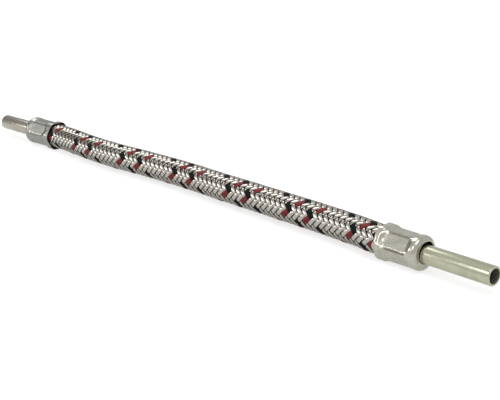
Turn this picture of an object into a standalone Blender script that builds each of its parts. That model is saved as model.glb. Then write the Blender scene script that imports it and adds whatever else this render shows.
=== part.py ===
"""Oil hose: a rubber hose in a braid of steel wire, crimped at each end onto a plain steel pipe.

X runs along the hose from the left pipe to the right one, Y is across it and Z is up. The hose lies
on the lowest flats of its two ferrules, at Z = 0, and its origin is below the middle of its length.
"""

import math

import bpy
from mathutils import Vector

# Lengths along the hose, in metres
HOSE_BETWEEN_FERRULES = 0.298
FERRULE_LENGTH = 0.0282
LEFT_PIPE_SHOWING = 0.0338
RIGHT_PIPE_SHOWING = 0.0410
PIPE_IN_HOSE = 0.0230

# Pipe
PIPE_DIAMETER = 0.010
PIPE_WALL = 0.001
PIPE_CHAMFER = 0.0003
PIPE_SIDES = 32

# Layers from the pipe outwards, free and squeezed under the crimp
CLEARANCE = 0.0003
RUBBER_WALL = 0.0015
SQUEEZED_RUBBER_WALL = 0.00075
RUBBER_SIDES = 18
BRAID_BACKING = 0.0004
PLAIT_RISE = 0.0005
SQUEEZED_BRAID_WALL = 0.0005
SQUEEZED_PLAIT_RISE = 0.0002
SQUEEZE_START = 0.0015
SQUEEZE_END = 0.0065
HOSE_END_GAP = 0.0016

# Braid: 12 flat plaits wind each way, and each passes over two and under two
BRAID_PITCH = 0.0498
PLAITS_EACH_WAY = 12
RED_PLAITS = (4, 8)
BLACK_PLAITS = (6, 10)
ROWS_INSIDE_FERRULE = 5

# Ferrule: a drawn cup with a hexagonal crimp, a bell at its mouth and a round collar at the pipe
FERRULE_WALL = 0.00085
BELL_LENGTH = 0.0040
BELL_GAP = 0.00045
CRIMP_START = 0.0075
CRIMP_END_TO_END = 0.0060
COLLAR_LENGTH = 0.0045
BELL_CORNER = 0.0052
CRIMP_CORNER = 0.0026
COLLAR_RISE = 0.0011
SHOULDER_RADIUS = 0.0018
SHOULDER_STEPS = 3
PIPE_HOLE_GAP = 0.0012
HEXAGON_SIDES = 6
FLAT_EDGE_ANGLE = 14.0

# Lie of the hose: how far it sways across, at equal steps from the left ferrule to the right one
SWAY = (
    0.00183, 0.00123, -0.00017, -0.00087, -0.00047, 0.00113, 0.00203, 0.00283, 0.00273,
    0.00213, 0.00213, 0.00193, 0.00173, 0.00153, 0.00093, 0.00013, -0.00177,
)
LEFT_YAW = math.radians(2.8)
RIGHT_YAW = math.radians(-0.8)
HOSE_STATION = 0.016

# Edges bent by more than these angles, in degrees, are shaded sharp
SHARP_EDGE = 40.0
SHARP_BRAID_EDGE = 60.0

# Sizes that follow from those above
PIPE_RADIUS = PIPE_DIAMETER / 2
HOSE_BORE = PIPE_RADIUS + CLEARANCE
RUBBER_RADIUS = HOSE_BORE + RUBBER_WALL
SQUEEZED_RUBBER = HOSE_BORE + SQUEEZED_RUBBER_WALL
BRAID_BORE = RUBBER_RADIUS + CLEARANCE
GROOVE_RADIUS = BRAID_BORE + BRAID_BACKING
RIDGE_RADIUS = GROOVE_RADIUS + PLAIT_RISE
SQUEEZED_BRAID_BORE = SQUEEZED_RUBBER + CLEARANCE
SQUEEZED_BRAID = SQUEEZED_BRAID_BORE + SQUEEZED_BRAID_WALL
CRIMP_FLAT = SQUEEZED_BRAID + CLEARANCE + FERRULE_WALL
BELL_FLAT = RIDGE_RADIUS + BELL_GAP + FERRULE_WALL
COLLAR_RADIUS = CRIMP_FLAT + COLLAR_RISE
HOLE_RADIUS = PIPE_RADIUS + PIPE_HOLE_GAP
AXIS_HEIGHT = BELL_FLAT
OVERALL_LENGTH = (
    LEFT_PIPE_SHOWING + FERRULE_LENGTH + HOSE_BETWEEN_FERRULES + FERRULE_LENGTH + RIGHT_PIPE_SHOWING
)
LEFT_MOUTH = -OVERALL_LENGTH / 2 + LEFT_PIPE_SHOWING + FERRULE_LENGTH
RIGHT_MOUTH = LEFT_MOUTH + HOSE_BETWEEN_FERRULES
HOSE_IN_FERRULE = FERRULE_LENGTH - FERRULE_WALL - HOSE_END_GAP
COLUMNS = 2 * PLAITS_EACH_WAY
ROW_STEP = BRAID_PITCH / COLUMNS
CORNER_ANGLE = 180.0 / HEXAGON_SIDES


def clear_scene():
    for thing in list(bpy.data.objects):
        bpy.data.objects.remove(thing, do_unlink=True)


def material(name, colour, roughness, metallic):
    made = bpy.data.materials.new(name)
    made.use_nodes = True
    shader = made.node_tree.nodes["Principled BSDF"]
    shader.inputs["Base Color"].default_value = (*colour, 1.0)
    shader.inputs["Roughness"].default_value = roughness
    shader.inputs["Metallic"].default_value = metallic
    return made


def mesh_object(name, points, faces, materials, face_materials=None, sharp_edge=SHARP_EDGE):
    """One closed body as an object, shaded smooth but for its real edges."""
    mesh = bpy.data.meshes.new(name)
    mesh.from_pydata([tuple(point) for point in points], [], faces)
    for finish in materials:
        mesh.materials.append(finish)
    if face_materials:
        mesh.polygons.foreach_set("material_index", face_materials)
    mesh.shade_smooth()
    mesh.set_sharp_from_angle(angle=math.radians(sharp_edge))
    mesh.update()
    thing = bpy.data.objects.new(name, mesh)
    bpy.context.scene.collection.objects.link(thing)
    return thing


def joined_rings(ring_count, sides):
    """Faces between each ring of points and the next, and from the last back to the first."""
    faces = []
    for ring in range(ring_count):
        after = (ring + 1) % ring_count
        for side in range(sides):
            beside = (side + 1) % sides
            near, far = ring * sides, after * sides
            faces.append((near + side, near + beside, far + beside, far + side))
    return faces


def round_ring(along, radius, sides):
    """A ring of points round the X axis."""
    turns = [2 * math.pi * side / sides for side in range(sides)]
    return [Vector((along, radius * math.cos(turn), radius * math.sin(turn))) for turn in turns]


def sway_slope(step):
    """How steeply the hose crosses at one of the listed steps; at its ends it follows the fittings."""
    if step == 0:
        return math.tan(LEFT_YAW)
    if step == len(SWAY) - 1:
        return math.tan(RIGHT_YAW)
    return (SWAY[step + 1] - SWAY[step - 1]) / (2 * HOSE_BETWEEN_FERRULES / (len(SWAY) - 1))


def hose_place(along):
    """Middle of the hose at this X, and its slope across, on a smooth curve through the sway points."""
    if along <= LEFT_MOUTH:
        slope = sway_slope(0)
        return Vector((along, SWAY[0] + slope * (along - LEFT_MOUTH), 0)), slope
    if along >= RIGHT_MOUTH:
        slope = sway_slope(len(SWAY) - 1)
        return Vector((along, SWAY[-1] + slope * (along - RIGHT_MOUTH), 0)), slope
    length = HOSE_BETWEEN_FERRULES / (len(SWAY) - 1)
    step = min(int((along - LEFT_MOUTH) / length), len(SWAY) - 2)
    share = (along - LEFT_MOUTH) / length - step
    start, end = SWAY[step], SWAY[step + 1]
    start_slope, end_slope = sway_slope(step) * length, sway_slope(step + 1) * length
    cubic = 2 * start + start_slope - 2 * end + end_slope
    square = 3 * end - 3 * start - 2 * start_slope - end_slope
    across = ((cubic * share + square) * share + start_slope) * share + start
    slope = ((3 * cubic * share + 2 * square) * share + start_slope) / length
    return Vector((along, across, 0)), slope


def hose_ring(along, radii):
    """A ring of points round the hose, square to it, with one radius for each point."""
    middle, slope = hose_place(along)
    across = Vector((-slope, 1, 0)).normalized()
    points = []
    for column, radius in enumerate(radii):
        turn = 2 * math.pi * (column + 0.5) / len(radii)
        points.append(middle + radius * (math.cos(turn) * across + math.sin(turn) * Vector((0, 0, 1))))
    return points


def depth_in_ferrule(along):
    """How far inside the nearer ferrule's mouth this X lies: negative between the ferrules."""
    return max(LEFT_MOUTH - along, along - RIGHT_MOUTH)


def squeezed(free, tight, along):
    """A radius that eases from free to tight as the ferrule squeezes the hose."""
    share = (depth_in_ferrule(along) - SQUEEZE_START) / (SQUEEZE_END - SQUEEZE_START)
    share = min(max(share, 0.0), 1.0)
    return free + (tight - free) * share * share * (3 - 2 * share)


def hose_stations():
    """X of the plain rings: close together where the hose is squeezed, further apart between."""
    inside = (HOSE_IN_FERRULE, SQUEEZE_END, (SQUEEZE_START + SQUEEZE_END) / 2, SQUEEZE_START)
    count = max(round(HOSE_BETWEEN_FERRULES / HOSE_STATION), 2)
    left = [LEFT_MOUTH - depth for depth in inside]
    middle = [LEFT_MOUTH + HOSE_BETWEEN_FERRULES * step / count for step in range(count + 1)]
    right = [RIGHT_MOUTH + depth for depth in reversed(inside)]
    return left + middle + right


def build_rubber_hose(finish):
    """Black rubber hose whose bore the pipes push into, thinner where it is squeezed."""
    rings = []
    stations = hose_stations()
    for along in stations:
        rings.append(hose_ring(along, [squeezed(RUBBER_RADIUS, SQUEEZED_RUBBER, along)] * RUBBER_SIDES))
    for along in reversed(stations):
        rings.append(hose_ring(along, [HOSE_BORE] * RUBBER_SIDES))
    points = [point for ring in rings for point in ring]
    return mesh_object("rubber_hose", points, joined_rings(len(rings), RUBBER_SIDES), [finish])


def is_crown(row, column):
    """Crossings of two plaits lie like the dark squares of a chessboard, with corners between."""
    return (row + column) % 2 == 0


def plait_on_top(row, column):
    """Which way the upper plait of a crossing winds, and its number."""
    if column % 4 in (3, 0):
        return "falling", (row + column) // 2 % PLAITS_EACH_WAY
    return "rising", (row - column) // 2 % PLAITS_EACH_WAY


def crossing_finish(row, column):
    """Material number of a crossing: plain wire, red tracer or black tracer."""
    way, plait = plait_on_top(row, column)
    if way == "falling" and plait in RED_PLAITS:
        return 1
    if way == "rising" and plait in BLACK_PLAITS:
        return 2
    return 0


def woven_faces(first_point, rows):
    """Triangles of the herringbone: a crest along each float, and a groove round it.

    A float is where a plait lies on top over two crossings. Each square of the grid has two
    crossings at opposite corners: its diagonal joins them where both are in one float.
    """
    faces, finishes = [], []
    for row in range(rows):
        for column in range(COLUMNS):
            beside = (column + 1) % COLUMNS
            near = first_point + row * COLUMNS
            square = (near + column, near + beside, near + COLUMNS + beside, near + COLUMNS + column)
            first_is_crown = is_crown(row, column)
            same_float = column % 4 == (1 if first_is_crown else 3)
            if first_is_crown:
                crowns = ((row, column), (row + 1, beside))
            else:
                crowns = ((row, beside), (row + 1, column))
            if same_float == first_is_crown:
                pair = ((square[0], square[1], square[2]), (square[0], square[2], square[3]))
            else:
                pair = ((square[0], square[1], square[3]), (square[1], square[2], square[3]))
            faces.extend(pair)
            finishes.extend(crossing_finish(*crown) for crown in crowns)
    return faces, finishes


def build_wire_braid(finishes):
    """Tube of plaits wound both ways, its outside a herringbone of floats and its inside plain."""
    rows = math.ceil(HOSE_BETWEEN_FERRULES / ROW_STEP) + 2 * ROWS_INSIDE_FERRULE
    first_row = LEFT_MOUTH - ROWS_INSIDE_FERRULE * ROW_STEP
    rings = []
    for row in range(rows + 1):
        along = first_row + row * ROW_STEP
        ridge = squeezed(RIDGE_RADIUS, SQUEEZED_BRAID, along)
        groove = squeezed(GROOVE_RADIUS, SQUEEZED_BRAID - SQUEEZED_PLAIT_RISE, along)
        radii = [ridge if is_crown(row, column) else groove for column in range(COLUMNS)]
        rings.append(hose_ring(along, radii))
    faces, face_finishes = woven_faces(0, rows)
    smooth_right = [first_row + (rows + 1) * ROW_STEP, RIGHT_MOUTH + HOSE_IN_FERRULE]
    smooth_left = [LEFT_MOUTH - HOSE_IN_FERRULE, first_row - ROW_STEP]
    for along in smooth_right:
        rings.append(hose_ring(along, [SQUEEZED_BRAID] * COLUMNS))
    for along in reversed(hose_stations()):
        rings.append(hose_ring(along, [squeezed(BRAID_BORE, SQUEEZED_BRAID_BORE, along)] * COLUMNS))
    for along in smooth_left:
        rings.append(hose_ring(along, [SQUEEZED_BRAID] * COLUMNS))
    plain = [face for face in joined_rings(len(rings), COLUMNS) if face[0] >= rows * COLUMNS]
    face_finishes.extend([0] * len(plain))
    points = [point for ring in rings for point in ring]
    return mesh_object("wire_braid", points, faces + plain, finishes, face_finishes, SHARP_BRAID_EDGE)


def build_pipe(name, showing, finish):
    """Plain tube, chamfered at both ends. Its X is measured outwards from the ferrule's mouth."""
    inner_end = FERRULE_LENGTH - PIPE_IN_HOSE
    outer_end = FERRULE_LENGTH + showing
    bore = PIPE_RADIUS - PIPE_WALL
    profile = (
        (inner_end, bore + PIPE_CHAMFER),
        (inner_end, PIPE_RADIUS - PIPE_CHAMFER),
        (inner_end + PIPE_CHAMFER, PIPE_RADIUS),
        (outer_end - PIPE_CHAMFER, PIPE_RADIUS),
        (outer_end, PIPE_RADIUS - PIPE_CHAMFER),
        (outer_end, bore + PIPE_CHAMFER),
        (outer_end - PIPE_CHAMFER, bore),
        (inner_end + PIPE_CHAMFER, bore),
    )
    points = [point for along, radius in profile for point in round_ring(along, radius, PIPE_SIDES)]
    return mesh_object(name, points, joined_rings(len(profile), PIPE_SIDES), [finish])


def rounded_hexagon(along, flat, corner):
    """A ring with its flats this far from the axis and corners of this radius; equal values give a circle.

    One flat lies lowest and one highest.
    """
    reach = (flat - corner) / math.cos(math.radians(CORNER_ANGLE))
    flat_end = math.degrees(math.atan(reach * math.sin(math.radians(CORNER_ANGLE)) / flat))
    between = (FLAT_EDGE_ANGLE + CORNER_ANGLE) / 2
    angles = (-CORNER_ANGLE, -between, -FLAT_EDGE_ANGLE, 0.0, FLAT_EDGE_ANGLE, between)
    points = []
    for side in range(HEXAGON_SIDES):
        for angle in angles:
            from_corner = math.radians(CORNER_ANGLE - abs(angle))
            if abs(angle) <= flat_end:
                radius = flat / math.cos(math.radians(angle))
            else:
                radius = reach * math.cos(from_corner)
                radius += math.sqrt(corner ** 2 - (reach * math.sin(from_corner)) ** 2)
            turn = math.radians(CORNER_ANGLE * (2 * side + 1) + angle)
            points.append(Vector((along, radius * math.cos(turn), radius * math.sin(turn))))
    return points


def ferrule_sections():
    """The cup's outline from the mouth over its outside to the pipe hole, then back inside.

    Each section is X from the mouth, distance to the flats and corner radius.
    """
    crimp_end = FERRULE_LENGTH - CRIMP_END_TO_END
    outside = [
        (0.0, BELL_FLAT, BELL_CORNER),
        (BELL_LENGTH, BELL_FLAT, BELL_CORNER),
        (CRIMP_START, CRIMP_FLAT, CRIMP_CORNER),
        (crimp_end, CRIMP_FLAT, CRIMP_CORNER),
        (FERRULE_LENGTH - COLLAR_LENGTH, COLLAR_RADIUS, COLLAR_RADIUS),
    ]
    for step in range(SHOULDER_STEPS + 1):
        turn = math.pi / 2 * step / SHOULDER_STEPS
        radius = COLLAR_RADIUS - SHOULDER_RADIUS * (1 - math.cos(turn))
        outside.append((FERRULE_LENGTH - SHOULDER_RADIUS * (1 - math.sin(turn)), radius, radius))
    inner_collar = COLLAR_RADIUS - FERRULE_WALL
    inner_end = FERRULE_LENGTH - FERRULE_WALL
    inner_round = SHOULDER_RADIUS - FERRULE_WALL
    inside = [
        (FERRULE_LENGTH, HOLE_RADIUS, HOLE_RADIUS),
        (inner_end, HOLE_RADIUS, HOLE_RADIUS),
        (inner_end, inner_collar - inner_round, inner_collar - inner_round),
        (inner_end - inner_round, inner_collar, inner_collar),
        (FERRULE_LENGTH - COLLAR_LENGTH, inner_collar, inner_collar),
        (crimp_end, CRIMP_FLAT - FERRULE_WALL, CRIMP_CORNER - FERRULE_WALL),
        (CRIMP_START, CRIMP_FLAT - FERRULE_WALL, CRIMP_CORNER - FERRULE_WALL),
        (BELL_LENGTH, BELL_FLAT - FERRULE_WALL, BELL_CORNER - FERRULE_WALL),
        (0.0, BELL_FLAT - FERRULE_WALL, BELL_CORNER - FERRULE_WALL),
    ]
    return outside + inside


def build_ferrule(name, finish):
    """Crimped cup that holds the hose and its braid on the pipe. Its X is measured from its mouth."""
    rings = [rounded_hexagon(*section) for section in ferrule_sections()]
    points = [point for ring in rings for point in ring]
    return mesh_object(name, points, joined_rings(len(rings), len(rings[0])), [finish])


def place_fitting(pieces, mouth, across, yaw, carrier):
    """Sets a ferrule and its pipe at a mouth of the hose, pointing outwards."""
    for piece in pieces:
        piece.location = (mouth, across, 0)
        piece.rotation_euler = (0, 0, yaw)
        piece.parent = carrier


def build():
    clear_scene()
    plain_wire = material("braid_wire", (0.78, 0.78, 0.74), 0.28, 1.0)
    red_wire = material("red_tracer", (0.33, 0.05, 0.04), 0.45, 0.3)
    black_wire = material("black_tracer", (0.02, 0.02, 0.02), 0.45, 0.2)
    rubber = material("hose_rubber", (0.02, 0.02, 0.02), 0.7, 0.0)
    left_steel = material("left_pipe_steel", (0.60, 0.56, 0.50), 0.30, 1.0)
    right_steel = material("right_pipe_steel", (0.66, 0.66, 0.50), 0.25, 1.0)
    zinc = material("ferrule_zinc", (0.72, 0.73, 0.71), 0.25, 1.0)

    hose_axis = bpy.data.objects.new("hose_axis", None)
    bpy.context.scene.collection.objects.link(hose_axis)
    hose_axis.location = (0, 0, AXIS_HEIGHT)

    build_rubber_hose(rubber).parent = hose_axis
    build_wire_braid([plain_wire, red_wire, black_wire]).parent = hose_axis
    for side, showing, steel, mouth, across, yaw in (
        ("left", LEFT_PIPE_SHOWING, left_steel, LEFT_MOUTH, SWAY[0], math.pi + LEFT_YAW),
        ("right", RIGHT_PIPE_SHOWING, right_steel, RIGHT_MOUTH, SWAY[-1], RIGHT_YAW),
    ):
        pieces = (build_pipe("pipe_" + side, showing, steel), build_ferrule("ferrule_" + side, zinc))
        place_fitting(pieces, mouth, across, yaw, hose_axis)


build()
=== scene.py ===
"""Looks of the oil hose: woven wire braid, crimped ferrules, steel pipes and the studio round them."""

import math
from dataclasses import dataclass

import bpy
import numpy as np
from mathutils import Matrix, Vector


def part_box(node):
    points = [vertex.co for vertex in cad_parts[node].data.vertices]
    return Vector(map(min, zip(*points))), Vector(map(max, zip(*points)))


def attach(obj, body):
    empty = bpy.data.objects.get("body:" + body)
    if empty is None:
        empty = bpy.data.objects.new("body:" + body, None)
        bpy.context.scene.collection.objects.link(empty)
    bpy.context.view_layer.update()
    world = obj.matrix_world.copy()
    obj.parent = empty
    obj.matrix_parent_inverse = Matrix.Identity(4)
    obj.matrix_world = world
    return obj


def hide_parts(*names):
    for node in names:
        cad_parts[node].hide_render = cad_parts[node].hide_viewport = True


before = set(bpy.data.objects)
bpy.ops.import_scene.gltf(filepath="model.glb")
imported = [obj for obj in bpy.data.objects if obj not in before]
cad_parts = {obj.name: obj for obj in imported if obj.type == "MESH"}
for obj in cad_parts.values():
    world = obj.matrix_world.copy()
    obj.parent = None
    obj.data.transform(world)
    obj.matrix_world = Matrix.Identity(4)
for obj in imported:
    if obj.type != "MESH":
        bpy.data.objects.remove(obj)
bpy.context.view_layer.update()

# Lie of the hose, in metres: the same points as in the part's source
SWAY = np.array((
    0.00183, 0.00123, -0.00017, -0.00087, -0.00047, 0.00113, 0.00203, 0.00283, 0.00273,
    0.00213, 0.00213, 0.00193, 0.00173, 0.00153, 0.00093, 0.00013, -0.00177,
))
LEFT_YAW = math.radians(2.8)
RIGHT_YAW = math.radians(-0.8)

# Sizes that the pieces share, in metres
HOSE_BETWEEN_FERRULES = 0.298
FERRULE_LENGTH = 0.0282
LEFT_PIPE_SHOWING = 0.0338
RIGHT_PIPE_SHOWING = 0.0410
PIPE_IN_HOSE = 0.0230
HOSE_IN_FERRULE = 0.02575
OVERALL_LENGTH = HOSE_BETWEEN_FERRULES + 2 * FERRULE_LENGTH + LEFT_PIPE_SHOWING + RIGHT_PIPE_SHOWING
LEFT_MOUTH = -OVERALL_LENGTH / 2 + LEFT_PIPE_SHOWING + FERRULE_LENGTH
RIGHT_MOUTH = LEFT_MOUTH + HOSE_BETWEEN_FERRULES
AXIS_HEIGHT = (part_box("pipe_left")[0].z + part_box("pipe_left")[1].z) / 2

# Depths inside a ferrule's mouth where its crimp starts to squeeze the hose and has done so fully
SQUEEZE_START, SQUEEZE_END = 0.0015, 0.0065

# Rubber hose, and the number of points at which the hose's route is worked out
HOSE_BORE = 0.0053
RUBBER_RADIUS = 0.0068
SQUEEZED_RUBBER = 0.00605
RUBBER_SIDES, RUBBER_STATIONS = 48, 150
RUBBER_SHARP_ANGLE = 40
ROUTE_POINTS = 121

# Braid: plaits over two and under two, on a grid of rows along the hose and columns round it
BRAID_PITCH = 0.0498
PLAITS_EACH_WAY = 12
COLUMNS = 2 * PLAITS_EACH_WAY
ROW_STEP = BRAID_PITCH / COLUMNS
COLUMN_TURN = 2 * math.pi / COLUMNS
ROWS_INSIDE_FERRULE = 5
FIRST_ROW = LEFT_MOUTH - ROWS_INSIDE_FERRULE * ROW_STEP
BRAID_IN_FERRULE = 0.0100
PATTERN_TURN = math.radians(2.0)
BRAID_MIDDLE = 0.00758
SQUEEZED_BRAID_MIDDLE = 0.0066
RED_PLAITS = (4, 8)
BLACK_PLAITS = (6, 10)

# Columns, out of each four, where a falling and a rising plait lie highest
FALLING_TOP, RISING_TOP = 3.5, 1.5

# One plait: a ribbon of wires that swings out and in, wider and a little higher where it is a tracer
PLAIT_WIDTH, TRACER_WIDTH = 0.00256, 0.00316
TRACER_LIFT = 0.00003
PLAIT_CROWN = 0.00020
PLAIT_BACK = 0.42
WIRES_IN_PLAIT = 8
WIRE_THICKNESS = 0.00030
WIRE_VALLEY = 0.00008
PLAIT_SWING = 0.00038
SWING_LOST_IN_CRIMP = 0.6
WAVE_FLATNESS = 2.6
STATIONS_PER_ROW = 5

# Painted shade on the wires: the swings where a plait lies hidden and open, and how near its edges it stays
# unshaded
HIDDEN_SWING, OPEN_SWING = -0.8, 0.3
PLAIT_EDGE, TRACER_EDGE = 0.72, 0.90

# Ferrule, with places from its mouth: a bell, a hexagonal crimp and a rounded collar
FERRULE_SIDES = 288
FERRULE_SHARP_ANGLE = 50
FERRULE_WALL = 0.0007
HALF_FLAT_ANGLE = math.radians(30)
BELL_FLAT, BELL_CORNER = 0.0093, 0.0052
BELL_END, CRIMP_START = 0.0030, 0.0070
CRIMP_FLAT, CRIMP_CORNER = 0.0080, 0.0026
CORNER_DELAY = 0.0022
CRIMP_END, COLLAR_START = 0.0210, 0.0245
COLLAR_RADIUS = 0.0091
SHOULDER_RADIUS = 0.0026
LIP_RINGS, BODY_RINGS, SHOULDER_RINGS, HOLE_RINGS, INSIDE_RINGS = 6, 120, 12, 9, 16

# Pipe's hole in the ferrule, and the corner behind it as depths and radii
HOLE_RADIUS = 0.0058
HOLE_LIP = 0.00025
HOLE_ASIDE = (0.0005, 0.0005)
ASIDE_START = 0.0075
INNER_CORNER = ((0.0, 0.0068), (0.0008, 0.0078), (0.0020, COLLAR_RADIUS - FERRULE_WALL))

# Wavy lip of a ferrule: how far its draw reaches, and the draw's steady and wavy shares
LIP_REACH = 0.006
LIP_DRAW, LIP_WAVE = 0.75, 0.25
LIP_PLACE, LIP_SEED = 0.002, 7

# Dents of a ferrule: waves of random length, their depths, and where they are weaker
DENT_WAVES = 26
DENT_WAVES_ROUND = (2, 11)
DENT_WAVES_ALONG = (150, 900)
DENT_MIX = 5
CRIMP_DENT, BELL_DENT = 0.00006, 0.00024
BELL_DENT_END = CRIMP_START + 0.002
DENTS_AT_ENDS, DENTS_BETWEEN = 0.35, 0.65
LIP_FADE, COLLAR_FADE = 0.0012, 0.001

# Marks of the crimping jaws: seams at the six corners, dirt and painted shade in them, and bites in the
# zinc
SEAM_HEIGHT, SEAM_SPREAD = 0.00008, 0.035
DIRT_AND_SHADE_SPREAD = 0.055
DIRT_AND_SHADE_STARTS_OVER, DIRT_AND_SHADE_ENDS_OVER = 0.003, 0.001
BITE_START, BITE_END = 0.0025, 0.0105
BITE_PEAK = (BITE_START + BITE_END) / 2

# Pipe
PIPE_RADIUS = 0.0050
PIPE_BORE = 0.0039
PIPE_SIDES = 96
PIPE_SHARP_ANGLE = 50
PIPE_RIM, BORE_RIM = 0.00035, 0.00008
BRIGHT_BORE = 0.0003
RIM_RINGS = 5

# Materials: the scales of their noise, for places in metres, and the depths of their bumps
NOISE_ROUGHNESS = 0.55
WIRE_SHADES, WIRE_SCRATCHES, WIRE_DEPTH = 300.0, 4000.0, 0.00003
RUBBER_GRAIN, RUBBER_DEPTH = 1500.0, 0.00005
ZINC_CLOUDS, ZINC_SCRATCHES, ZINC_PITS, ZINC_DEPTH = 260.0, 700.0, 1000.0, 0.00010
SCRATCH_SHARE = 0.12
# Colour of the seams' dirt and painted shade
SEAM_COLOUR = (0.34, 0.30, 0.24)
PIPE_STREAKS, PIPE_CLOUDS, PIPE_DEPTH = 3.0, 180.0, 0.00004
PIPE_ROUGHNESS = 0.22
BORE_SOOT = 900.0

# Studio: the floor, the world's light on it, and the room that metal mirrors, darker at its far left
FLOOR_REACH = 6.0
FLOOR_COLOUR = 0.38
FLOOR_TOP_UP = 0.70
MIRRORED_FLOOR_TOP_UP = 0.54
WORLD_LIGHT = 0.80
ROOM_LEVEL, DARK_END_LEVEL = 0.76, 0.30
DARK_END, DARK_END_OVER = -1.0, -0.55

# Photograph's camera
CAMERA_AZIMUTH = math.radians(47.32)
CAMERA_ELEVATION = math.radians(17.31)
CAMERA_ROLL = math.radians(-0.35)
CAMERA_AIM = Vector((0.0483, -0.0037, AXIS_HEIGHT))
CAMERA_DISTANCE = 0.6491
CAMERA_LENS = 82.62
SENSOR_WIDTH = 36.0
NEAREST_SEEN = 0.01


@dataclass
class End:
    """One end of the hose: its ferrule's mouth, how strongly it is marked, and its metals' colours.

    Lip is how far the mouth is drawn in, and marks and the seams' dirt with painted shade are shares of the
    strongest.
    """

    side: str
    mouth: float
    across: float
    yaw: float
    pipe_showing: float
    seed: int
    lip: float
    marks: float
    dirt_and_shade: float
    pipe_dark: tuple
    pipe_light: tuple
    zinc_dark: tuple
    zinc_light: tuple
    zinc_roughness: float


# Both ends are the same steel and zinc: the left end's darker colours are painted shade
LEFT_END = End(
    side="left", mouth=LEFT_MOUTH, across=SWAY[0], yaw=math.pi + LEFT_YAW, pipe_showing=LEFT_PIPE_SHOWING,
    seed=3, lip=0.0004, marks=0.3, dirt_and_shade=0.5,
    pipe_dark=(0.36, 0.33, 0.275), pipe_light=(0.46, 0.43, 0.37),
    zinc_dark=(0.25, 0.258, 0.230), zinc_light=(0.33, 0.338, 0.305), zinc_roughness=0.33,
)
RIGHT_END = End(
    side="right", mouth=RIGHT_MOUTH, across=SWAY[-1], yaw=RIGHT_YAW, pipe_showing=RIGHT_PIPE_SHOWING,
    seed=8, lip=0.0018, marks=1.0, dirt_and_shade=1.0,
    pipe_dark=(0.40, 0.40, 0.29), pipe_light=(0.52, 0.52, 0.40),
    zinc_dark=(0.40, 0.393, 0.335), zinc_light=(0.53, 0.515, 0.445), zinc_roughness=0.21,
)


def ease(value, start, end):
    """0 up to start, rising smoothly to 1 at end. Start may be the larger of the two."""
    share = np.clip((value - start) / (end - start), 0, 1)
    return share * share * (3 - 2 * share)


def angles_round(sides):
    return np.arange(sides) * 2 * math.pi / sides


def hose_middle(along):
    """How far the hose's middle lies across at these X, and its slope there."""
    steps = len(SWAY) - 1
    length = HOSE_BETWEEN_FERRULES / steps
    rise = np.gradient(SWAY)
    rise[0] = math.tan(LEFT_YAW) * length
    rise[-1] = math.tan(RIGHT_YAW) * length
    step = np.clip(((along - LEFT_MOUTH) / length).astype(int), 0, steps - 1)
    share = np.clip((along - LEFT_MOUTH) / length - step, 0, 1)
    start, end, start_rise, end_rise = SWAY[step], SWAY[step + 1], rise[step], rise[step + 1]
    cubic = 2 * start + start_rise - 2 * end + end_rise
    square = 3 * end - 3 * start - 2 * start_rise - end_rise
    across = ((cubic * share + square) * share + start_rise) * share + start
    slope = ((3 * cubic * share + 2 * square) * share + start_rise) / length
    beyond = along - np.clip(along, LEFT_MOUTH, RIGHT_MOUTH)
    return across + slope * beyond, slope


def on_hose(along, turn, radius):
    """Points at these places along the hose, angles round it and distances from its middle."""
    across, slope = hose_middle(along)
    lean = 1 / np.sqrt(1 + slope ** 2)
    sideways = radius * np.cos(turn)
    height = AXIS_HEIGHT + radius * np.sin(turn)
    return np.stack([along - sideways * slope * lean, across + sideways * lean, height], axis=-1)


def squeeze(along):
    """0 between the ferrules, rising to 1 where their crimps squeeze the hose."""
    depth = np.maximum(LEFT_MOUTH - along, along - RIGHT_MOUTH)
    return ease(depth, SQUEEZE_START, SQUEEZE_END)


def mesh_piece(name, points, faces, materials, face_materials=None, sharp_angle=None):
    """A smooth piece of these points and faces, with edges kept sharp above the angle in degrees."""
    mesh = bpy.data.meshes.new(name)
    mesh.from_pydata(np.asarray(points).tolist(), [], faces)
    for finish in materials:
        mesh.materials.append(finish)
    if face_materials is not None:
        mesh.polygons.foreach_set("material_index", face_materials)
    mesh.shade_smooth()
    if sharp_angle:
        mesh.set_sharp_from_angle(angle=math.radians(sharp_angle))
    piece = bpy.data.objects.new(name, mesh)
    bpy.context.scene.collection.objects.link(piece)
    return piece


def store(piece, name, values):
    """Keeps a number for each point of the piece, for its material to read."""
    attribute = piece.data.attributes.new(name, "FLOAT", "POINT")
    attribute.data.foreach_set("value", np.concatenate(values))


def ring_faces(rings, sides, closed=True):
    """Faces between neighbouring rings of points, and from the last ring back to the first if closed."""
    ring = np.arange(rings if closed else rings - 1)[:, None]
    side = np.arange(sides)[None, :]
    near, far = ring * sides, (ring + 1) % rings * sides
    beside = (side + 1) % sides
    corners = [near + side, near + beside, far + beside, far + side]
    return np.stack(corners, axis=-1).reshape(-1, 4).tolist()


def build_rubber(finish):
    """The rubber hose inside the braid, from inside one ferrule to inside the other."""
    along = np.linspace(LEFT_MOUTH - HOSE_IN_FERRULE, RIGHT_MOUTH + HOSE_IN_FERRULE, RUBBER_STATIONS)
    outside = RUBBER_RADIUS + (SQUEEZED_RUBBER - RUBBER_RADIUS) * squeeze(along)
    radius = np.concatenate([outside, np.full(RUBBER_STATIONS, HOSE_BORE)])
    there_and_back = np.concatenate([along, along[::-1]])
    along, turn = np.meshgrid(there_and_back, angles_round(RUBBER_SIDES), indexing="ij")
    points = on_hose(along, turn, radius[:, None])
    faces = ring_faces(2 * RUBBER_STATIONS, RUBBER_SIDES)
    return mesh_piece("rubber_core", points.reshape(-1, 3), faces, [finish], sharp_angle=RUBBER_SHARP_ANGLE)


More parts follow.
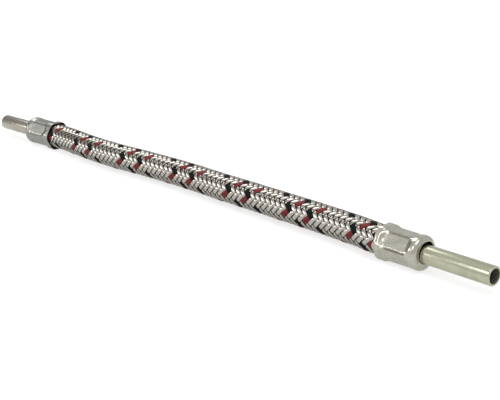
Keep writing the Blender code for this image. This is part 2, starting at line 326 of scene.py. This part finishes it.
def plait_section(width, lift):
    """Outline across a plait, from edge to edge over its wires and back below: (across, height)."""
    outline = []
    for point in range(2 * WIRES_IN_PLAIT + 1):
        share = point / WIRES_IN_PLAIT - 1
        height = WIRE_THICKNESS / 2 - (WIRE_VALLEY if point % 2 == 0 else 0) - PLAIT_CROWN * share ** 2
        if abs(share) == 1:
            height = -PLAIT_CROWN
        outline.append((share * width / 2, height + lift))
    outline.append((width * PLAIT_BACK, -WIRE_THICKNESS / 2))
    outline.append((-width * PLAIT_BACK, -WIRE_THICKNESS / 2))
    return np.array(outline)


def plait_points(way, number, section, edge):
    """Rings of points along one plait, and how open each point lies to the light, from 0 to 1.

    Falling plaits turn backwards as they go along, and rising ones forwards.
    """
    first = (LEFT_MOUTH - BRAID_IN_FERRULE - FIRST_ROW) / ROW_STEP
    last = (RIGHT_MOUTH + BRAID_IN_FERRULE - FIRST_ROW) / ROW_STEP
    row = np.linspace(first, last, int((last - first) * STATIONS_PER_ROW))
    if way == "falling":
        column, top, sense = 2 * number - row, FALLING_TOP, -1
    else:
        column, top, sense = row - 2 * number, RISING_TOP, 1
    wave = np.tanh(WAVE_FLATNESS * np.cos((column - top) * math.pi / 2)) / math.tanh(WAVE_FLATNESS)
    step_round = BRAID_MIDDLE * COLUMN_TURN * sense
    length = math.hypot(ROW_STEP, step_round)
    middle_along = FIRST_ROW + row * ROW_STEP
    middle_turn = (column + 0.5) * COLUMN_TURN + PATTERN_TURN
    across, height = section.T[:, None, :]
    along = middle_along[:, None] - across * step_round / length
    turn = middle_turn[:, None] + across * ROW_STEP / length / BRAID_MIDDLE
    tight = squeeze(along)
    middle = BRAID_MIDDLE + (SQUEEZED_BRAID_MIDDLE - BRAID_MIDDLE) * tight
    radius = middle + PLAIT_SWING * (1 - SWING_LOST_IN_CRIMP * tight) * wave[:, None] + height
    from_middle = np.abs(across) / across.max()
    openness = ease(wave, HIDDEN_SWING, OPEN_SWING)[:, None] * (1 - ease(from_middle, edge, 1.0))
    # The two points under the plait are fully hidden: its underside gets the most painted shade
    openness[:, -2:] = 0
    return on_hose(along, turn, radius), openness


def build_plaits(name, way, numbers, finish, width=PLAIT_WIDTH, lift=0.0, edge=PLAIT_EDGE):
    """Plaits that wind the same way, each a closed ribbon of wires."""
    section = plait_section(width, lift)
    sides = len(section)
    points, faces, wires, lit, offset = [], [], [], [], 0
    for number in numbers:
        ribbon, openness = plait_points(way, number, section, edge)
        stations = len(openness)
        points.append(ribbon.reshape(-1, 3))
        lit.append(openness.reshape(-1))
        faces.extend((np.array(ring_faces(stations, sides, closed=False))[:, ::-1] + offset).tolist())
        faces.append([offset + side for side in range(sides)])
        faces.append([offset + (stations - 1) * sides + side for side in reversed(range(sides))])
        wires.append(np.tile(section[:, 0] / width * WIRES_IN_PLAIT, stations) + number * WIRES_IN_PLAIT)
        offset += stations * sides
    piece = mesh_piece(name, np.concatenate(points), faces, [finish])
    store(piece, "wire", wires)
    store(piece, "openness", lit)
    return piece


def placed(local, end):
    """Points measured from a ferrule's mouth, turned to point outwards there."""
    turned = local[:, 0] * math.cos(end.yaw) - local[:, 1] * math.sin(end.yaw)
    sideways = local[:, 0] * math.sin(end.yaw) + local[:, 1] * math.cos(end.yaw)
    return np.stack([end.mouth + turned, end.across + sideways, AXIS_HEIGHT + local[:, 2]], axis=-1)


def hexagon_radius(angle, flat, corner):
    """Distance from the axis to a hexagon with rounded corners. Its flats face up and down."""
    angle = np.abs((angle % (2 * HALF_FLAT_ANGLE)) - HALF_FLAT_ANGLE)
    reach = (flat - corner) / math.cos(HALF_FLAT_ANGLE)
    from_corner = HALF_FLAT_ANGLE - angle
    on_flat = flat / np.cos(angle)
    off_corner = reach * np.sin(from_corner)
    on_corner = reach * np.cos(from_corner) + np.sqrt(np.maximum(corner ** 2 - off_corner ** 2, 0))
    flat_end = np.arctan(reach * math.sin(HALF_FLAT_ANGLE) / flat)
    return np.where(angle <= flat_end, on_flat, on_corner)


def from_seam(turn):
    """Angle to the nearest of the crimp's six corners, where the jaws leave a seam."""
    return np.abs((turn + HALF_FLAT_ANGLE) % (2 * HALF_FLAT_ANGLE) - HALF_FLAT_ANGLE)


def ferrule_radius(along, turn, marks):
    """The ferrule's outside without its dents, from the mouth to the shoulder."""
    bell = hexagon_radius(turn, BELL_FLAT, BELL_CORNER)
    crimp = hexagon_radius(turn, CRIMP_FLAT, CRIMP_CORNER)
    delay = CORNER_DELAY * (1 - from_seam(turn) / HALF_FLAT_ANGLE) ** 2
    to_crimp = ease(along, BELL_END + delay, CRIMP_START + delay)
    to_collar = ease(along, CRIMP_END, COLLAR_START)
    crimp = crimp + marks * SEAM_HEIGHT * np.exp(-(from_seam(turn) / SEAM_SPREAD) ** 2)
    return (bell + (crimp - bell) * to_crimp) * (1 - to_collar) + COLLAR_RADIUS * to_collar


def seam_dirt_and_shade(along, turn):
    """Darkening along the crimp's six seams, between 0 and 1: dirt there, and painted shade over their
    highlights.
    """
    starts = ease(along, CRIMP_START, CRIMP_START + DIRT_AND_SHADE_STARTS_OVER)
    ends = ease(along, CRIMP_END, CRIMP_END + DIRT_AND_SHADE_ENDS_OVER)
    return starts * (1 - ends) * np.exp(-(from_seam(turn) / DIRT_AND_SHADE_SPREAD) ** 2)


def bite_marks(along):
    """Where the crimping jaws have bitten the zinc, between 0 and 1."""
    return ease(along, BITE_START, BITE_PEAK) * (1 - ease(along, BITE_PEAK, BITE_END))


def waviness(along, turn, seed):
    """Smooth random unevenness between -1 and 1, made of waves along and round the ferrule."""
    chance = np.random.default_rng(seed)
    total = np.zeros(np.broadcast(along, turn).shape)
    for _ in range(DENT_WAVES):
        waves_round = chance.integers(*DENT_WAVES_ROUND)
        waves_along = chance.uniform(*DENT_WAVES_ALONG)
        start = chance.uniform(0, 2 * math.pi)
        total += np.sin(waves_round * turn + waves_along * along + start) / DENT_MIX
    return np.tanh(total)


def dents(along, turn, end):
    """How far the ferrule is dented, always inward: most on the bell, least at the lip and the collar."""
    depth = end.marks * (CRIMP_DENT + BELL_DENT * (1 - ease(along, BELL_END, BELL_DENT_END)))
    before_collar = 1 - ease(along, COLLAR_START - COLLAR_FADE, COLLAR_START + COLLAR_FADE)
    share = DENTS_AT_ENDS + DENTS_BETWEEN * ease(along, 0.0, LIP_FADE) * before_collar
    return (waviness(along, turn, end.seed) - 1) * depth / 2 * share


def ferrule_profile(turn, marks):
    """The ferrule's rings, from its lip over its outside, through the pipe's hole and back inside.

    Each is its place along the ferrule and its radius, without the dents.
    """
    lip = FERRULE_WALL / 2
    shoulder = FERRULE_LENGTH - SHOULDER_RADIUS
    inner_face = FERRULE_LENGTH - FERRULE_WALL - HOLE_LIP
    rings = []
    for step in np.linspace(math.pi, math.pi / 2, LIP_RINGS):
        along = lip + lip * math.cos(step)
        rings.append((along, ferrule_radius(along, turn, marks) - lip + lip * math.sin(step)))
    for along in np.linspace(lip, shoulder, BODY_RINGS)[1:]:
        rings.append((along, ferrule_radius(along, turn, marks)))
    for step in np.linspace(0, math.pi / 2, SHOULDER_RINGS)[1:]:
        inset = SHOULDER_RADIUS * (1 - math.cos(step))
        rings.append((shoulder + SHOULDER_RADIUS * math.sin(step), COLLAR_RADIUS - inset))
    for step in np.linspace(0, math.pi, HOLE_RINGS):
        radius = HOLE_RADIUS + HOLE_LIP * (1 - math.sin(step))
        rings.append((FERRULE_LENGTH - HOLE_LIP * (1 - math.cos(step)), radius))
    for depth, radius in INNER_CORNER:
        rings.append((inner_face - depth, radius))
    for along in np.linspace(COLLAR_START, lip, INSIDE_RINGS):
        rings.append((along, ferrule_radius(along, turn, marks) - FERRULE_WALL))
    return rings


def build_ferrule(end, finish):
    """Cup with a wavy lip and a dented bell, a hexagonal crimp and a rounded collar."""
    turn = angles_round(FERRULE_SIDES)
    rings = ferrule_profile(turn, end.marks)
    lip_draw = end.lip * (LIP_DRAW + LIP_WAVE * waviness(LIP_PLACE, turn, end.seed + LIP_SEED))
    points, dirt_and_shade, bites = [], [], []
    for along, radius in rings:
        radius = radius + dents(along, turn, end)
        drawn = along + lip_draw * (1 - ease(along, 0.0, LIP_REACH))
        aside = ease(radius, ASIDE_START, HOLE_RADIUS) if along > COLLAR_START else 0
        sideways = radius * np.cos(turn) + aside * HOLE_ASIDE[0]
        height = radius * np.sin(turn) + aside * HOLE_ASIDE[1]
        points.append(np.stack([drawn, sideways, height], axis=-1))
        dirt_and_shade.append(end.dirt_and_shade * seam_dirt_and_shade(along, turn))
        bites.append(np.full(FERRULE_SIDES, end.marks * bite_marks(along)))
    local = placed(np.concatenate(points), end)
    faces = ring_faces(len(rings), FERRULE_SIDES)
    name = "crimped_ferrule_" + end.side
    piece = mesh_piece(name, local, faces, [finish], sharp_angle=FERRULE_SHARP_ANGLE)
    store(piece, "dirt_and_shade", dirt_and_shade)
    store(piece, "bites", bites)
    return piece


def pipe_profile(end):
    """The pipe's rings: place from the ferrule's mouth, radius, and 1 where the dull bore begins."""
    inside, outside = FERRULE_LENGTH - PIPE_IN_HOSE, FERRULE_LENGTH + end.pipe_showing
    rings = []
    for step in np.linspace(math.pi, math.pi / 2, RIM_RINGS):
        radius = PIPE_RADIUS - PIPE_RIM + PIPE_RIM * math.sin(step)
        rings.append((inside + PIPE_RIM + PIPE_RIM * math.cos(step), radius, 0))
    for step in np.linspace(math.pi / 2, 0, RIM_RINGS):
        radius = PIPE_RADIUS - PIPE_RIM + PIPE_RIM * math.sin(step)
        rings.append((outside - PIPE_RIM + PIPE_RIM * math.cos(step), radius, 0))
    for step in np.linspace(0, -math.pi / 2, RIM_RINGS):
        radius = PIPE_BORE + BORE_RIM * (1 + math.sin(step))
        rings.append((outside - BORE_RIM * (1 - math.cos(step)), radius, 0))
    rings.append((outside - BRIGHT_BORE, PIPE_BORE, 1))
    rings.append((inside + PIPE_RIM, PIPE_BORE, 1))
    rings.append((inside, PIPE_BORE + PIPE_RIM, 1))
    return rings


def build_pipe(end, outside, bore):
    """Tube with rounded rims. Its bore is duller than its outside."""
    along, radius, kinds = np.array(pipe_profile(end)).T
    along, turn = np.meshgrid(along, angles_round(PIPE_SIDES), indexing="ij")
    radius = radius[:, None]
    local = np.stack([along, radius * np.cos(turn), radius * np.sin(turn)], axis=-1).reshape(-1, 3)
    faces = ring_faces(len(kinds), PIPE_SIDES)
    face_materials = np.repeat(kinds.astype(int), PIPE_SIDES)
    name = "steel_pipe_" + end.side
    return mesh_piece(name, placed(local, end), faces, [outside, bore], face_materials, PIPE_SHARP_ANGLE)


class Nodes:
    """Adds and links the nodes of a material or of the world."""

    def __init__(self, owner):
        owner.use_nodes = True
        self.tree = owner.node_tree
        self.made = owner.node_tree.nodes

    def feed(self, node, inputs):
        """Gives a node's inputs their values, each a constant or another node's output."""
        for name, value in inputs.items():
            if isinstance(value, bpy.types.NodeSocket):
                self.tree.links.new(value, node.inputs[name])
            else:
                node.inputs[name].default_value = value

    def add(self, kind, inputs, **settings):
        """A new node with these settings and inputs. Gives its outputs."""
        node = self.made.new("ShaderNode" + kind)
        for name, value in settings.items():
            setattr(node, name, value)
        self.feed(node, inputs)
        return node.outputs

    def place(self, stretch=(1, 1, 1)):
        """Place in the row frame, stretched in each direction."""
        coordinates = self.add("TexCoord", {})
        return self.add("Mapping", {"Vector": coordinates["Object"], "Scale": stretch})["Vector"]

    def noise(self, vector, scale, detail=3.0):
        inputs = {"Vector": vector, "Scale": scale, "Detail": detail, "Roughness": NOISE_ROUGHNESS}
        return self.add("TexNoise", inputs)["Fac"]

    def stored(self, name):
        """The number that a piece keeps under this name for each of its points."""
        return self.add("Attribute", {}, attribute_name=name)["Fac"]

    def math(self, operation, *values):
        """The result of a Math node, each of its values a number or another node's output."""
        return self.add("Math", dict(enumerate(values)), operation=operation)[0]

    def ramp(self, value, *stops):
        """The colour for a number, from stops that each give a number and its colour."""
        node = self.made.new("ShaderNodeValToRGB")
        elements = node.color_ramp.elements
        while len(elements) < len(stops):
            elements.new(0.5)
        for element, (number, colour) in zip(elements, stops):
            element.position = number
            element.color = (*colour, 1.0)
        self.feed(node, {"Fac": value})
        return node.outputs["Color"]

    def multiplied(self, colour, tint):
        """A colour times a tint. The Mix node's colour sockets are found by number."""
        first, second, result = 6, 7, 2
        inputs = {"Factor": 1.0, first: colour, second: tint}
        return self.add("Mix", inputs, data_type="RGBA", blend_type="MULTIPLY")[result]

    def bumped(self, height, strength, depth):
        inputs = {"Height": height, "Strength": strength, "Distance": depth}
        return self.add("Bump", inputs)["Normal"]


def grey(level):
    return (level, level, level)


def new_material(name):
    """A material, its nodes and its Principled shader."""
    material = bpy.data.materials.new(name)
    nodes = Nodes(material)
    return material, nodes, nodes.made["Principled BSDF"]


def wire_material(name, dark, light, metallic, roughness, shine=0.5):
    """Wire laid side by side: each wire has its own tone, with fine scratches along it and painted shade
    where the plait lies hidden.
    """
    material, nodes, shader = new_material(name)
    place = nodes.place()
    inputs = {"Vector": place, "W": nodes.stored("wire"), "Scale": WIRE_SHADES, "Detail": 2.0}
    shade = nodes.add("TexNoise", inputs, noise_dimensions="4D")["Fac"]
    colour = nodes.ramp(shade, (0.3, dark), (0.7, light))
    # Painted shade: the wires' colour is darkened where the plait dives under others, near its edges and on
    # its underside
    painted_shade = nodes.ramp(nodes.stored("openness"), (0.0, grey(0.015)), (0.55, grey(0.42)), (0.9, grey(1.0)))
    scratches = nodes.noise(place, WIRE_SCRATCHES, detail=2.0)
    nodes.feed(shader, {
        "Base Color": nodes.multiplied(colour, painted_shade),
        "Metallic": metallic,
        "Roughness": nodes.ramp(shade, (0.3, grey(roughness + 0.1)), (0.7, grey(roughness - 0.05))),
        "Specular IOR Level": shine,
        "Normal": nodes.bumped(scratches, 0.25, WIRE_DEPTH),
    })
    return material


def rubber_material():
    """Matte black rubber with a fine grain."""
    material, nodes, shader = new_material("core_rubber")
    grain = nodes.noise(nodes.place(), RUBBER_GRAIN)
    nodes.feed(shader, {
        "Base Color": nodes.ramp(grain, (0.3, grey(0.010)), (0.7, grey(0.022))),
        "Roughness": 0.7,
        "Specular IOR Level": 0.15,
        "Normal": nodes.bumped(grain, 0.4, RUBBER_DEPTH),
    })
    return material


def zinc_material(end):
    """Zinc on pressed steel: cloudy, finely scratched, darkened at its seams by dirt and painted shade, and
    pitted where jaws bit.
    """
    material, nodes, shader = new_material(end.side + "_zinc")
    place = nodes.place()
    cloud = nodes.noise(place, ZINC_CLOUDS, detail=4.0)
    colour = nodes.ramp(cloud, (0.30, end.zinc_dark), (0.65, end.zinc_light))
    # Painted shade on top of dirt: the seams' colour is darkened, which also dims their highlights
    dirt_and_shade = nodes.ramp(nodes.stored("dirt_and_shade"), (0.0, grey(1.0)), (0.9, SEAM_COLOUR))
    matte, polished = grey(end.zinc_roughness + 0.04), grey(end.zinc_roughness - 0.04)
    scratches = nodes.noise(nodes.place(stretch=(1, 4, 4)), ZINC_SCRATCHES)
    pits = nodes.noise(place, ZINC_PITS)
    faint_scratches = nodes.math("MULTIPLY", scratches, SCRATCH_SHARE)
    height = nodes.math("MULTIPLY_ADD", pits, nodes.stored("bites"), faint_scratches)
    nodes.feed(shader, {
        "Base Color": nodes.multiplied(colour, dirt_and_shade),
        "Metallic": 1.0,
        "Roughness": nodes.ramp(cloud, (0.35, matte), (0.65, polished)),
        "Normal": nodes.bumped(height, 1.0, ZINC_DEPTH),
    })
    return material


def pipe_material(end):
    """Drawn steel: streaks along the pipe, cloudy plating and faint marks."""
    material, nodes, shader = new_material(end.side + "_steel")
    streak = nodes.noise(nodes.place(stretch=(6, 300, 300)), PIPE_STREAKS)
    cloud = nodes.noise(nodes.place(), PIPE_CLOUDS, detail=2.0)
    mixed = nodes.math("MULTIPLY_ADD", streak, 0.5, nodes.math("MULTIPLY", cloud, 0.5))
    matte, polished = grey(PIPE_ROUGHNESS + 0.08), grey(PIPE_ROUGHNESS - 0.05)
    nodes.feed(shader, {
        "Base Color": nodes.ramp(mixed, (0.35, end.pipe_dark), (0.62, end.pipe_light)),
        "Metallic": 1.0,
        "Roughness": nodes.ramp(mixed, (0.35, matte), (0.65, polished)),
        "Normal": nodes.bumped(streak, 0.08, PIPE_DEPTH),
    })
    return material


def bore_material():
    """Dull steel with faint soot, inside the pipes."""
    material, nodes, shader = new_material("dark_bore")
    soot = nodes.noise(nodes.place(), BORE_SOOT)
    nodes.feed(shader, {
        "Base Color": nodes.ramp(soot, (0.3, (0.30, 0.31, 0.25)), (0.7, (0.45, 0.47, 0.38))),
        "Metallic": 1.0,
        "Roughness": 0.55,
    })
    return material


def build_floor():
    """Pale floor that keeps the shadow. Its lit colour is topped up to white where it is seen."""
    mesh = bpy.data.meshes.new("floor")
    corners = [(x * FLOOR_REACH, y * FLOOR_REACH, 0) for x, y in ((-1, -1), (1, -1), (1, 1), (-1, 1))]
    mesh.from_pydata(corners, [], [(0, 1, 2, 3)])
    floor = bpy.data.objects.new("floor", mesh)
    bpy.context.scene.collection.objects.link(floor)
    material, nodes, shader = new_material("pale_floor")
    nodes.made.remove(shader)
    ray = nodes.add("LightPath", {})
    mirrored = nodes.math("MULTIPLY", ray["Is Glossy Ray"], MIRRORED_FLOOR_TOP_UP)
    top_up = nodes.math("MULTIPLY_ADD", ray["Is Camera Ray"], FLOOR_TOP_UP, mirrored)
    lit = nodes.add("BsdfDiffuse", {"Color": (*grey(FLOOR_COLOUR), 1)})[0]
    glow = nodes.add("Emission", {"Color": (1, 1, 1, 1), "Strength": top_up})[0]
    nodes.feed(nodes.made["Material Output"], {"Surface": nodes.add("AddShader", {0: lit, 1: glow})[0]})
    mesh.materials.append(material)


def build_world():
    """White where it is seen, and a plain soft light elsewhere.

    Metal mirrors it as a dimmer room, which is darkest at the far left.
    """
    world = bpy.data.worlds.new("studio")
    bpy.context.scene.world = world
    nodes = Nodes(world)
    ray = nodes.add("LightPath", {})
    seen = nodes.math("MAXIMUM", ray["Is Camera Ray"], ray["Is Glossy Ray"])
    seen = nodes.math("MAXIMUM", seen, ray["Is Transmission Ray"])
    level = nodes.add("MapRange", {"Value": seen, "To Min": WORLD_LIGHT, "To Max": 1.0})["Result"]
    direction = nodes.add("SeparateXYZ", {0: nodes.add("TexCoord", {})["Generated"]})
    room = nodes.add("MapRange", {
        "Value": direction["X"],
        "From Min": DARK_END,
        "From Max": DARK_END_OVER,
        "To Min": DARK_END_LEVEL,
        "To Max": ROOM_LEVEL,
    }, interpolation_type="SMOOTHSTEP")["Result"]
    mirrored = nodes.add("Mix", {"Factor": ray["Is Glossy Ray"], "A": 1.0, "B": room})["Result"]
    strength = nodes.math("MULTIPLY", level, mirrored)
    nodes.feed(nodes.made["Background"], {"Color": (1, 1, 1, 1), "Strength": strength})


def build_softbox(name, left, right, rise, distance, height, level):
    """Long soft lamp along X from left to right, its rise in degrees from the horizon in front."""
    length = right - left
    data = bpy.data.lights.new(name, "AREA")
    data.shape = "RECTANGLE"
    data.size, data.size_y = length, height
    data.energy = level * math.pi * length * height
    lamp = bpy.data.objects.new(name, data)
    turn = math.radians(rise)
    away = Vector((0, -math.cos(turn), math.sin(turn)))
    lamp.location = Vector(((left + right) / 2, 0, AXIS_HEIGHT)) + away * distance
    lamp.rotation_euler = (math.radians(90) - turn, 0, 0)
    bpy.context.scene.collection.objects.link(lamp)


def build_camera():
    """The photograph's camera, from its angles, aim and distance."""
    forward = Vector((
        -math.sin(CAMERA_AZIMUTH) * math.cos(CAMERA_ELEVATION),
        math.cos(CAMERA_AZIMUTH) * math.cos(CAMERA_ELEVATION),
        -math.sin(CAMERA_ELEVATION),
    ))
    right = Vector((math.cos(CAMERA_AZIMUTH), math.sin(CAMERA_AZIMUTH), 0))
    up = right.cross(forward)
    rolled_right = right * math.cos(CAMERA_ROLL) + up * math.sin(CAMERA_ROLL)
    rolled_up = up * math.cos(CAMERA_ROLL) - right * math.sin(CAMERA_ROLL)
    data = bpy.data.cameras.new("camera")
    data.lens = CAMERA_LENS
    data.sensor_width = SENSOR_WIDTH
    data.clip_start = NEAREST_SEEN
    camera = bpy.data.objects.new("camera", data)
    turn = Matrix((rolled_right, rolled_up, -forward)).transposed().to_4x4()
    camera.matrix_world = Matrix.Translation(CAMERA_AIM - forward * CAMERA_DISTANCE) @ turn
    bpy.context.scene.collection.objects.link(camera)
    bpy.context.scene.camera = camera


def stand_in(piece, node):
    """The piece takes a CAD node's place: the node is hidden and the piece is hung from the root body."""
    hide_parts(node)
    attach(piece, "root")


def build_braid():
    """All plaits of the braid. The plain ones are shared out over two pieces each way."""
    steel = wire_material(
        "tinned_wire", dark=(0.38, 0.358, 0.322), light=(0.525, 0.50, 0.452),
        metallic=1.0, roughness=0.25,
    )
    red = wire_material(
        "red_wire", dark=(0.12, 0.010, 0.011), light=(0.20, 0.016, 0.017),
        metallic=0.0, roughness=0.5, shine=0.2,
    )
    black = wire_material(
        "black_wire", dark=grey(0.004), light=grey(0.009),
        metallic=0.0, roughness=0.6, shine=0.08,
    )
    tracer = {"width": TRACER_WIDTH, "lift": TRACER_LIFT, "edge": TRACER_EDGE}
    falling = [number for number in range(PLAITS_EACH_WAY) if number not in RED_PLAITS]
    rising = [number for number in range(PLAITS_EACH_WAY) if number not in BLACK_PLAITS]
    plaits = []
    for way, plain in (("falling", falling), ("rising", rising)):
        for share in (0, 1):
            name = f"{way}_plaits_{share + 1}"
            plaits.append(build_plaits(name, way, plain[share::2], steel))
            stand_in(plaits[-1], "wire_braid")
    for name, way, numbers, wire in (
        ("red", "falling", RED_PLAITS, red), ("black", "rising", BLACK_PLAITS, black),
    ):
        plaits.append(build_plaits(name + "_plaits", way, numbers, wire, **tracer))
        stand_in(plaits[-1], "wire_braid")
    return plaits


def declare_hose():
    """Works out where the hose's middle lies across at the points of its route, and does nothing more with
    them.
    """
    along = np.linspace(LEFT_MOUTH - HOSE_IN_FERRULE, RIGHT_MOUTH + HOSE_IN_FERRULE, ROUTE_POINTS)
    across, _ = hose_middle(along)


build_camera()

core = build_rubber(rubber_material())
stand_in(core, "rubber_hose")
plaits = build_braid()

bore = bore_material()
for end in (LEFT_END, RIGHT_END):
    pipe = build_pipe(end, pipe_material(end), bore)
    stand_in(pipe, "pipe_" + end.side)
    ferrule = build_ferrule(end, zinc_material(end))
    stand_in(ferrule, "ferrule_" + end.side)
declare_hose()

build_floor()
build_world()
build_softbox("key", left=-1.22, right=-0.64, rise=21, distance=0.9, height=0.24, level=7.6)
build_softbox("back", left=-1.2, right=-0.42, rise=103, distance=0.8, height=0.29, level=5.2)
build_softbox("fill", left=-0.27, right=0.20, rise=36, distance=0.9, height=0.26, level=3.2)
build_softbox("overhead", left=0.05, right=0.55, rise=76, distance=0.9, height=0.45, level=2.9)
bpy.context.scene.view_settings.view_transform = "Standard"
